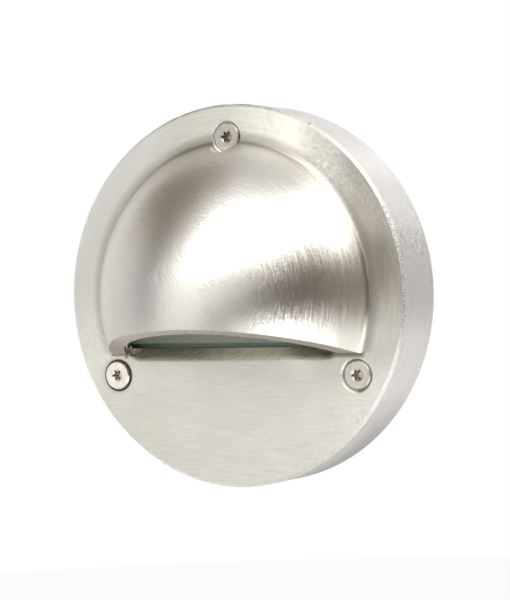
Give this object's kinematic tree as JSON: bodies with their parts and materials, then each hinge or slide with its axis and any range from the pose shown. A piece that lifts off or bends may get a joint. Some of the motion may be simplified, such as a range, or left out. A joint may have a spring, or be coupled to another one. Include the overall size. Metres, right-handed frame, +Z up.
{
  "type": "step light",
  "caption": "Round surface-mounted step light: thick brushed stainless cover with a half-dome hood that throws light down through a frosted glass slot.",
  "frame": {"origin": "centre of the face that lies on the wall", "axes": "+Z up, the front and its hood face -Y, the wall is on the +Y side, +X is on the viewer's right"},
  "size_m": [0.11, 0.0495, 0.11],
  "materials": {
    "stainless_cover": "stainless steel, brushed by hand, satin",
    "stainless_base": "stainless steel, turned, fine tool marks",
    "stainless_screws": "stainless steel, plain",
    "frosted_glass": "toughened glass, sand-blasted on the front, greenish in its thickness",
    "silicone": "translucent grey silicone, matt",
    "foam_rubber": "closed-cell foam rubber, black",
    "black_rubber": "moulded rubber, black, satin",
    "bright_aluminium": "bright rolled sheet",
    "board_white": "white solder mask",
    "diode_yellow": "yellow phosphor under clear resin",
    "tinned_pins": "tin plate",
    "component_black": "black moulding compound",
    "white_ceramic": "glazed steatite, stands in for ceramic",
    "brass_contacts": "drawn brass",
    "white_nylon": "moulded nylon",
    "zinc_screws": "zinc plate",
    "lead_insulation": "silicone insulation",
    "tinned_copper": "tinned copper strands"
  },
  "bodies": {
    "base": {"base_housing": "stainless_base", "cover_seal_ring": "black_rubber", "post_seals": "silicone", "wall_gasket": "foam_rubber", "cable_grommet": "black_rubber", "reflector_tray": "bright_aluminium", "tray_screws": "zinc_screws", "lampholder_body": "white_ceramic", "lampholder_contacts": "brass_contacts", "lampholder_screw": "zinc_screws", "terminal_block": "white_nylon", "terminal_clamps": "brass_contacts", "terminal_screws": "zinc_screws", "terminal_fixing_screw": "zinc_screws", "lamp_leads": "lead_insulation", "lead_ends": "tinned_copper"},
    "cover": {"hood_cover": "stainless_cover", "window_glass": "frosted_glass", "glass_gasket": "silicone", "glass_clamp_ring": "stainless_base", "clamp_ring_screws": "stainless_screws"},
    "screw_top": {"cover_screw_top": "stainless_screws"},
    "screw_left": {"cover_screw_left": "stainless_screws"},
    "screw_right": {"cover_screw_right": "stainless_screws"},
    "lamp": {"led_board": "board_white", "led_chips": "diode_yellow", "lamp_pins": "tinned_pins", "lamp_rectifier": "component_black"}
  },
  "joints": [
    {"name": "cover_lift", "type": "slide", "parent": "base", "child": "cover", "axis": [0, -1, 0], "range_m": [0, 0.05]},
    {"name": "screw_top_out", "type": "slide", "parent": "cover", "child": "screw_top", "axis": [0, -1, 0], "range_m": [0, 0.016]},
    {"name": "screw_left_out", "type": "slide", "parent": "cover", "child": "screw_left", "axis": [0, -1, 0], "range_m": [0, 0.016]},
    {"name": "screw_right_out", "type": "slide", "parent": "cover", "child": "screw_right", "axis": [0, -1, 0], "range_m": [0, 0.016]},
    {"name": "lamp_pull", "type": "slide", "parent": "base", "child": "lamp", "axis": [1, 0, 0], "range_m": [0, 0.008]}
  ]
}
